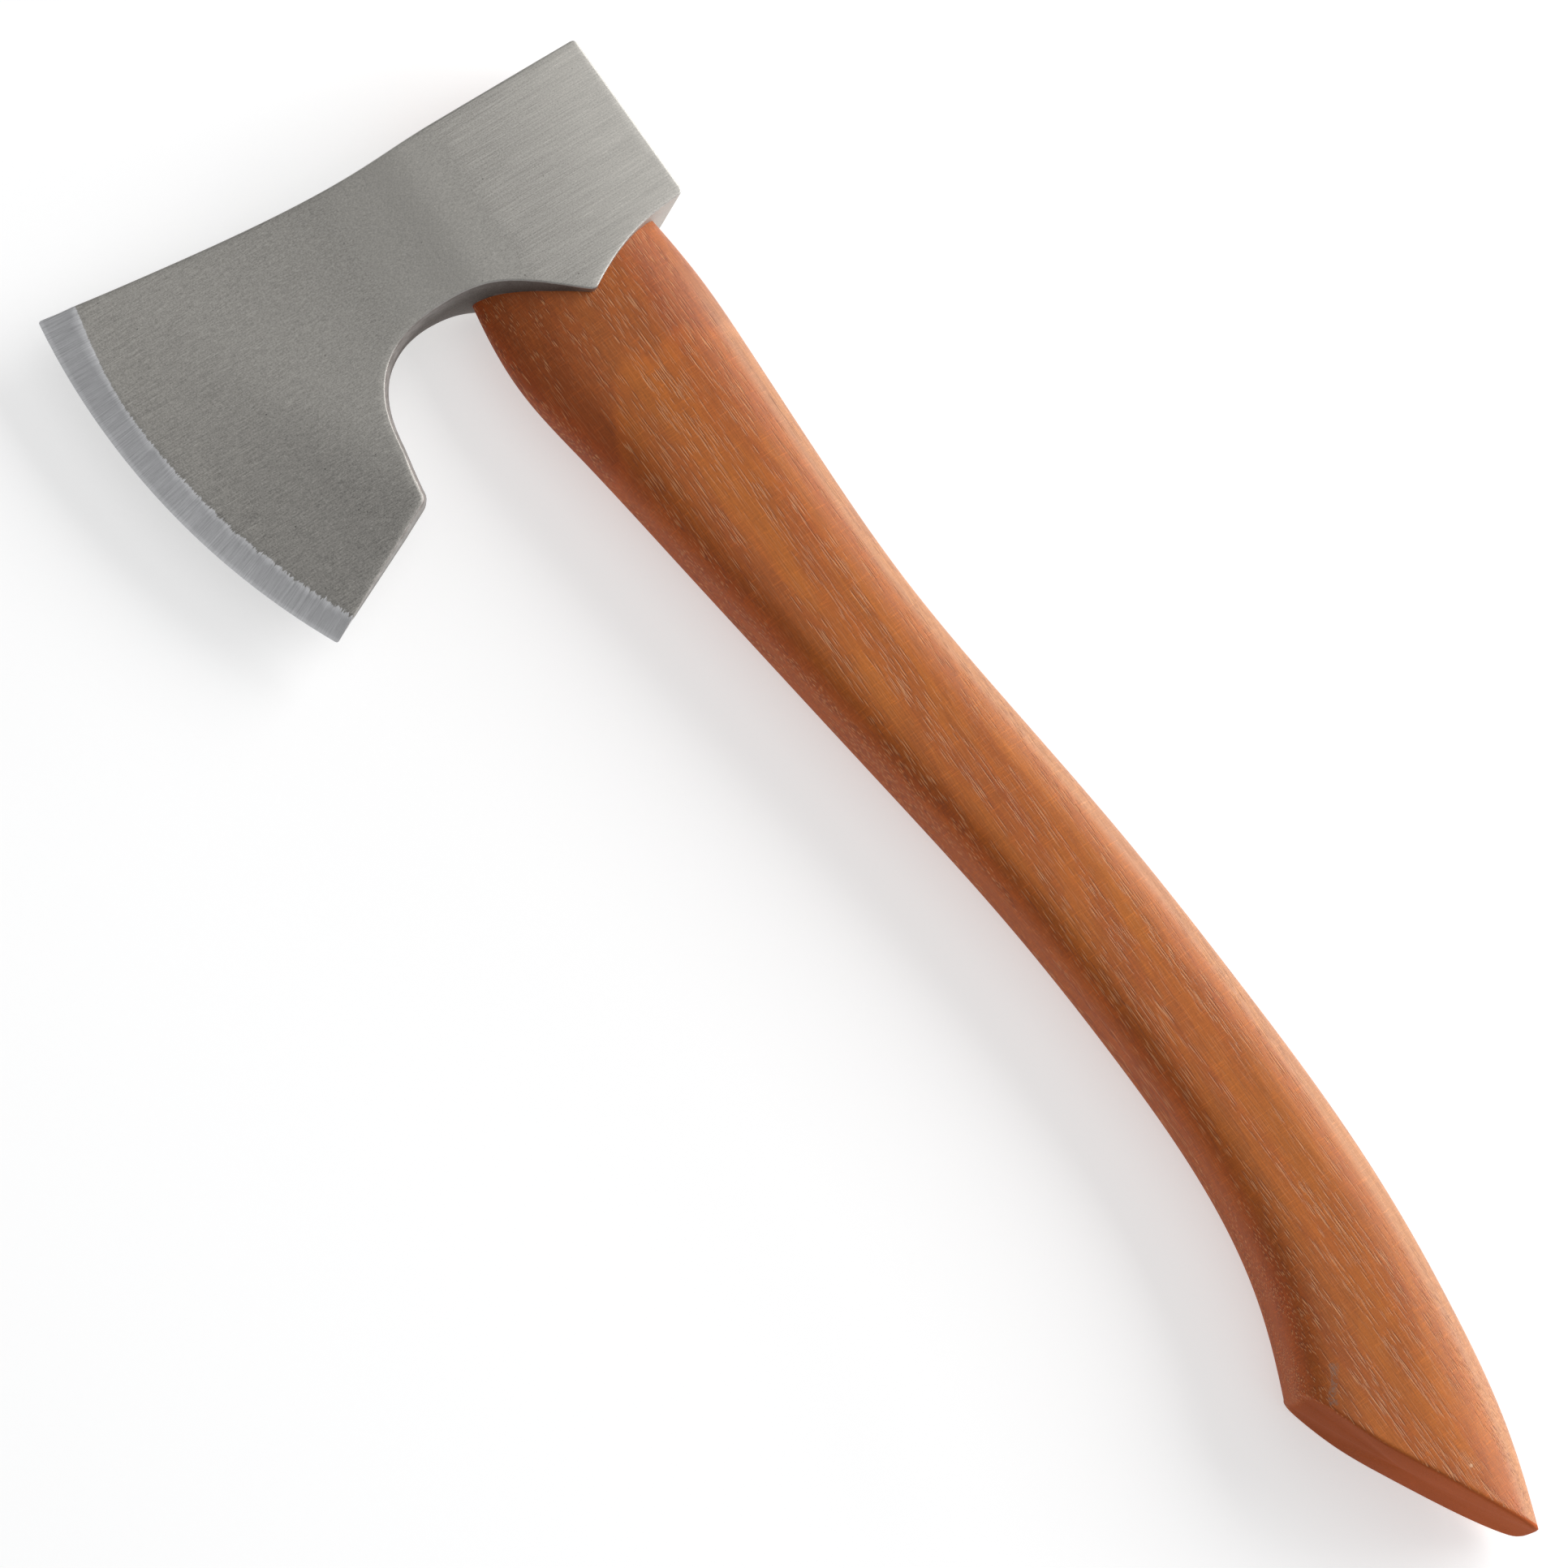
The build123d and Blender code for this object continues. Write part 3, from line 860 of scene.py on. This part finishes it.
def haft_finish():
    """Ring-porous hardwood, stained red-brown and oiled to a satin: pores, rays, rings and figure."""
    f = Finish("haft_wood_stained")
    along_grain = {"Vector": f.place, "Angle": GRAIN_TURN}
    grain = f.node("VectorRotate", along_grain, rotation_type="Z_AXIS")
    phase = wood_rings(f)
    early = f.product(f.ease(phase, 0.0, 0.06), f.ease(phase, 0.66, 0.40))
    fine = f.noise((11.0, 0.22, 0.22), detail=3.0, rough=0.7, vector=grain)
    coarse = f.noise((30.0, 1.1, 1.1), (2.2, 0.6, 4.1), detail=3.0, vector=grain)
    rays = f.noise((0.20, 5.0, 5.0), (1.7, 0.4, 2.2), detail=3.0, rough=0.7, vector=grain)
    blotch = f.noise((44.0, 9.0, 12.0), (5.5, 1.5, 0.5), detail=3.0)
    grit = f.noise((0.4, 0.25, 0.25), detail=2.0, rough=0.7)
    groups = f.noise((40.0, 3.0, 5.0), (0.9, 3.3, 1.1), detail=2.0, vector=grain)
    groups = f.ease(groups, 0.44, 0.54)
    pale, dark = wood_vessels(f, grain, early, groups)
    # stain: golden, and redder where the pores drank it
    red_share = f.total((0.12, early), (0.22, groups), (0.50, f.ease(blotch, 0.38, 0.68)))
    colour = f.mix(f.math("MINIMUM", red_share, 1.0), STAIN_GOLD, STAIN_RED)
    # a darker collar that ends in a wavy line under the head, and runs on down the belly
    wander = f.noise((60.0, 9.0, 12.0), (3.3, 0.2, 0.0), detail=3.0)
    belly_side = f.ease(f.total((1.0, f.y), (-0.10, f.x)), 8.0, 22.0)
    edge = f.total((1.0, f.x), (22.0, f.math("SUBTRACT", wander, 0.5)), (14.0, belly_side))
    collar = f.ease(edge, -52.0, -38.0)
    figure = f.product(f.ease(edge, -48.5, -45.0), f.ease(edge, -42.0, -44.0))
    drank = f.total((0.20, collar), (0.16, f.ease(edge, -45.5, -42.5)), (0.24, belly_side))
    colour = f.mix(f.math("MINIMUM", drank, 0.85), colour, STAIN_COLLAR)
    # more stain sits on the belly and its arris, and both are painted darker and redder as shade, since
    # they face away from the lights
    to_butt, to_belly, _ = f.split(f.node("NewGeometry", {}, "Normal"))
    arris = f.product(f.ease(to_belly, 0.10, 0.45), f.ease(to_belly, 1.0, 0.6))
    colour = f.mix(f.product(arris, 0.42), colour, ARRIS_STAIN_AND_SHADE)
    belly = f.ease(to_belly, 0.45, 0.85)
    colour = f.mix(f.product(belly, 0.55), colour, BELLY_STAIN_AND_SHADE)
    # and a painted highlight: the back is painted pale, mostly where it turns into the flats, where the
    # lights catch the oiled wood
    spine = f.total((0.55, f.ease(to_belly, -1.0, -0.84)), plus=0.45)
    wear_and_painted_highlight = f.product(f.ease(to_belly, -0.36, -0.62), f.ease(f.x, -18.0, -50.0), spine)
    wear_and_painted_highlight = f.product(wear_and_painted_highlight, f.total((0.42, fine), (0.42, grit)))
    colour = f.mix(f.math("MINIMUM", wear_and_painted_highlight, 1.0), colour, BACK_PAINTED_HIGHLIGHT)
    tone = f.total(
        (0.80, fine),
        (0.26, coarse),
        (0.36, f.ease(rays, 0.50, 0.74)),
        (0.50, grit),
        (-0.06, early),
        (0.12, figure),
        (0.10, f.ease(f.x, -278.0, -300.0)),
        plus=0.16,
    )
    colour = f.shade(colour, tone)
    colour = f.mix(f.product(dark, 0.65), colour, VESSEL_SHADOW)
    colour = f.mix(f.product(pale, 0.68), colour, VESSEL_DUST)
    # end grain on the butt's face, lighter towards its tip
    end_grain = f.product(f.ease(to_butt, -0.25, -0.40), f.ease(f.x, -268.0, -272.0))
    to_tip = f.ease(f.x, -290.0, -306.0)
    end_tone = f.total((0.5, grit), (0.3, blotch), (0.24, to_tip), plus=0.56)
    colour = f.mix(end_grain, colour, f.shade(STAIN_END_GRAIN, end_tone))
    mend = mended_nick(f)
    colour = f.mix(f.product(mend, 0.62), colour, FILLER_GREY)
    dent = small_dent(f)
    colour = f.mix(f.product(dent, 0.6), colour, WOOD_DENTED)
    rough = f.total(
        (0.16, fine),
        (0.10, grit),
        (0.20, pale),
        (0.08, rays),
        (0.45, end_grain),
        (0.30, belly),
        plus=0.23,
    )
    pits = f.math("MAXIMUM", pale, dark)
    height = f.total((-0.65, pits), (0.20, fine), (0.12, rays), (0.16, grit), (-0.2, mend), (-0.8, dent))
    f.bump(height, 0.5, 0.09)
    return f.finish(colour, rough, IOR=1.46, Specular_IOR_Level=0.36)


def wedge_wood_finish():
    """Pale, close-grained hardwood, with the grain along the wedge and stain in patches."""
    f = Finish("wedge_wood_pale")
    fine = f.noise((7.0, 0.3, 0.3), detail=3.0, rough=0.6)
    bands = f.noise((30.0, 1.1, 1.6), (0.0, 2.0, 1.0), detail=2.0)
    pores = f.ease(f.cells((3.0, 0.45, 0.45)), 0.25, 0.12)
    colour = f.mix(bands, (0.62, 0.42, 0.22), (0.46, 0.27, 0.12))
    stain = f.ease(f.noise((4.0, 5.0, 5.0), (3.0, 1.0, 0.0)), 0.45, 0.65)
    colour = f.mix(f.product(stain, 0.5), colour, (0.30, 0.13, 0.055))
    colour = f.shade(colour, f.total((0.4, fine), (-0.35, pores), plus=0.80))
    rough = f.total((0.2, fine), (0.1, pores), plus=0.46)
    f.bump(f.total((0.5, fine), (-0.6, pores)), 0.6, 0.08)
    return f.finish(colour, rough, IOR=1.46)


def wedge_steel_finish():
    """Mild steel straight from the bar: blotchy mill scale and a bloom of rust."""
    f = Finish("wedge_steel_mill")
    scale = f.noise((1.6, 1.6, 1.6), detail=4.0, rough=0.65)
    grain = f.noise((5.0, 0.3, 0.3), detail=2.0)
    rust = f.ease(f.noise((2.4, 2.4, 2.4), (5.0, 2.0, 1.0), detail=4.0), 0.56, 0.70)
    colour = f.mix(f.ease(scale, 0.40, 0.62), (0.20, 0.195, 0.19), (0.46, 0.45, 0.44))
    colour = f.mix(f.product(rust, 0.55), colour, (0.20, 0.085, 0.035))
    rough = f.total((0.22, scale), (0.25, rust), plus=0.28)
    f.bump(f.total((0.6, scale), (0.3, grain), (0.3, rust)), 0.6, 0.08)
    return f.finish(colour, rough, Metallic=0.9)


def floor_finish():
    """Matt, near-white studio paper, which glows a little so that it stays white."""
    f = Finish("floor_paper")
    fibre = f.noise((1.5, 1.5, 1.5), detail=3.0)
    colour = f.shade((0.66, 0.66, 0.66), f.total((0.02, fibre), plus=0.985))
    f.bump(fibre, 0.1, 0.05)
    return f.finish(colour, 0.9, Emission_Color=(1.0, 1.0, 1.0, 1.0), Emission_Strength=0.50)


# ---- the pieces ----

RIM_ATTRIBUTE = "rim"
WEDGE_EASE = 0.15


def mark_rims(piece):
    """Stores how far each point of the head is on an eased edge, for the wear there."""
    mesh = piece.data
    tilt = np.zeros(len(mesh.vertices) * 3)
    mesh.vertex_normals.foreach_get("vector", tilt)
    lean = np.degrees(np.arccos(np.clip(np.abs(tilt[2::3]), 0, 1)))
    rim = np.clip((lean - 22) / 12, 0, 1) * np.clip((82 - lean) / 12, 0, 1)
    mesh.attributes.new(RIM_ATTRIBUTE, "FLOAT", "POINT").data.foreach_set("value", rim)


head = make_head()
mark_rims(head)
head.data.materials.append(steel_finish())
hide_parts("axe_head")
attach(head, "root")

handle = make_handle()
handle.data.materials.append(haft_finish())
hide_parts("handle")
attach(handle, "root")

# the two wedges keep their CAD shape, with eased edges
for node, finish in (("wooden_wedge", wedge_wood_finish()), ("steel_wedge", wedge_steel_finish())):
    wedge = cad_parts[node]
    wedge.data.materials.clear()
    wedge.data.materials.append(finish)
    eased = wedge.modifiers.new("eased edges", "BEVEL")
    eased.width = WEDGE_EASE * MM
    eased.segments = 2
    eased.limit_method = "ANGLE"
    eased.angle_limit = math.radians(40)


# ---- the studio ----

VIEW_TARGET = Vector((-125.2, 20.5, MID)) * MM
VIEW_DISTANCE = 1366.75 * MM
VIEW_DIRECTION = Vector((0.07451, -0.27081, -0.95975))
VIEW_ROLL = math.radians(-34.07)
FILM_WIDTH = 36.0
FOCAL_LENGTH = 163.04
OBJECT_CENTRE = Vector((-150.0, 10.0, 0.0)) * MM
FLOOR_REACH = 4000
FLOOR_GAP = 0.1
FILL_COLOUR = (0.98, 0.99, 1.0)
FILL_STRENGTH = 0.31


def make_camera():
    """A long lens looking down on the hatchet, leaning towards its edge and its butt."""
    lens = bpy.data.cameras.new("view")
    lens.sensor_width = FILM_WIDTH
    lens.lens = FOCAL_LENGTH
    lens.clip_end = 20
    camera = bpy.data.objects.new("view", lens)
    forward = VIEW_DIRECTION.normalized()
    hint = Vector((math.cos(VIEW_ROLL), math.sin(VIEW_ROLL), 0))
    right = forward.cross(hint).normalized()
    up = right.cross(forward)
    turn = Matrix((right, up, -forward)).transposed().to_4x4()
    camera.matrix_world = Matrix.Translation(VIEW_TARGET - forward * VIEW_DISTANCE) @ turn
    bpy.context.scene.collection.objects.link(camera)
    bpy.context.scene.camera = camera


def soft_box(name, place, size, radiance):
    """An area light, in metres, as bright as its radiance says, facing the object."""
    light = bpy.data.lights.new(name, "AREA")
    light.shape = "RECTANGLE"
    light.size, light.size_y = size
    light.energy = radiance * math.pi * size[0] * size[1]
    lamp = bpy.data.objects.new(name, light)
    place = Vector(place)
    facing = (OBJECT_CENTRE - place).to_track_quat("-Z", "Y").to_matrix().to_4x4()
    lamp.matrix_world = Matrix.Translation(place) @ facing
    bpy.context.scene.collection.objects.link(lamp)


def make_studio():
    """White paper, a large soft box on the poll's side, a low one behind the back, and even fill."""
    r = FLOOR_REACH
    sheet = [(x, y, -FLOOR_GAP) for x, y in ((-r, -r), (r, -r), (r, r), (-r, r))]
    floor = link_mesh("floor", sheet, [(0, 1, 2, 3)])
    floor.data.materials.append(floor_finish())
    world = bpy.data.worlds.new("fill")
    world.use_nodes = True
    fill = world.node_tree.nodes["Background"].inputs
    fill["Color"].default_value = rgba(FILL_COLOUR)
    fill["Strength"].default_value = FILL_STRENGTH
    bpy.context.scene.world = world
    soft_box("key", (-0.25, -1.15, 0.80), (1.5, 0.8), 4.2)
    soft_box("over", (-0.1, -0.15, 1.6), (1.3, 1.1), 0.75)
    soft_box("rim", (-0.35, -0.95, 0.16), (1.1, 0.22), 6.5)
    bpy.context.scene.view_settings.view_transform = "Standard"


make_camera()
make_studio()
